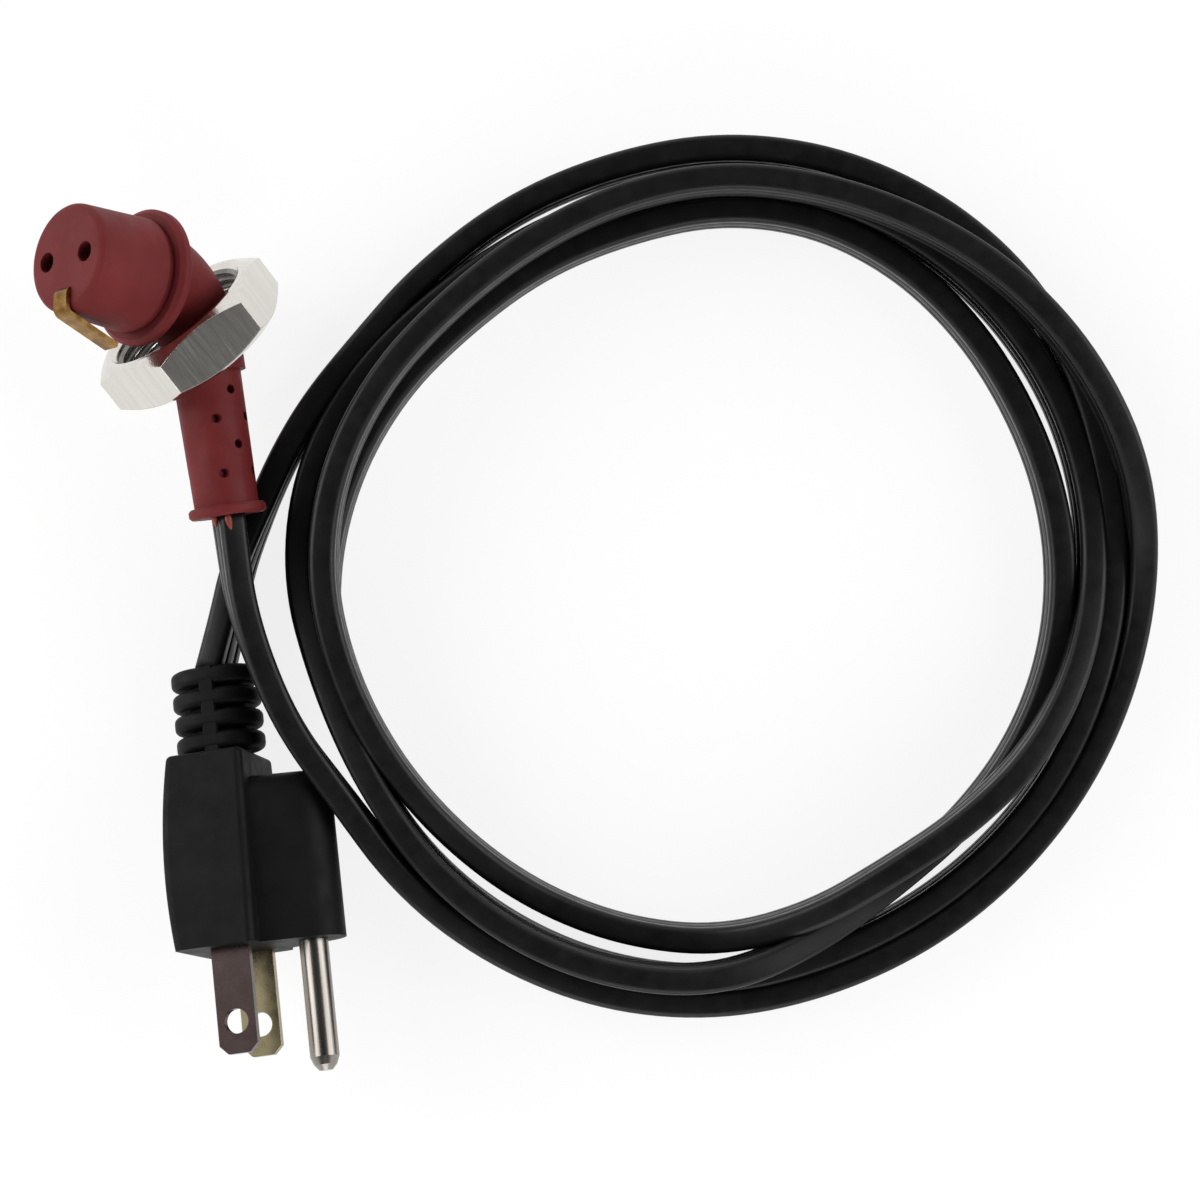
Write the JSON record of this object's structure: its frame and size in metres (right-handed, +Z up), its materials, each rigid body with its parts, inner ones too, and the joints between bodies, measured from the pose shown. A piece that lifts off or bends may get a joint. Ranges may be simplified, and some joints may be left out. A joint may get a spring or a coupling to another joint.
{
  "type": "engine block heater cord",
  "caption": "Coiled flat three-core lead with a moulded elbow connector, loose hex coupling nut and moulded grounded plug, for an engine block heater.",
  "frame": {"origin": "middle of the footprint of the elbow connector and its nut, on the table", "axes": "+Z up from the table, +Y away along the connector's sleeve, +X to the right towards the coil"},
  "size_m": [0.1825, 0.1524, 0.0407],
  "materials": {
    "red_silicone": "dusty moulded silicone",
    "nickel_nut": "bright nickel plate, brushed flats",
    "strap_brass": "dull stamped strip",
    "contact_brass": "drawn contact tube",
    "cord_jacket": "satin extruded jacket",
    "plug_vinyl": "satin moulded vinyl",
    "bridge_plastic": "stiff moulded plate",
    "line_blade_metal": "brownish nickel plate",
    "neutral_blade_metal": "bare brass",
    "pin_metal": "shiny nickel plate",
    "line_insulation": "extruded vinyl",
    "neutral_insulation": "extruded vinyl",
    "ground_insulation": "extruded vinyl"
  },
  "bodies": {
    "cord_set": {"connector_body": "red_silicone", "ground_strap": "strap_brass", "line_socket": "contact_brass", "neutral_socket": "contact_brass", "connector_line_lead": "line_insulation", "connector_ground_lead": "ground_insulation", "connector_neutral_lead": "neutral_insulation", "cord_boot_side": "cord_jacket", "cord_coil": "cord_jacket", "cord_plug_side": "cord_jacket", "plug_body": "plug_vinyl", "plug_bridge": "bridge_plastic", "line_blade": "line_blade_metal", "neutral_blade": "neutral_blade_metal", "ground_pin": "pin_metal", "plug_line_lead": "line_insulation", "plug_ground_lead": "ground_insulation", "plug_neutral_lead": "neutral_insulation"},
    "nut": {"coupling_nut": "nickel_nut"}
  },
  "joints": [
    {"name": "nut_spin", "type": "hinge", "parent": "cord_set", "child": "nut", "pos_m": [0.00419, 0.00575, 0.01508], "axis": [-0.5387, 0.7334, 0.4147], "continuous": true}
  ]
}
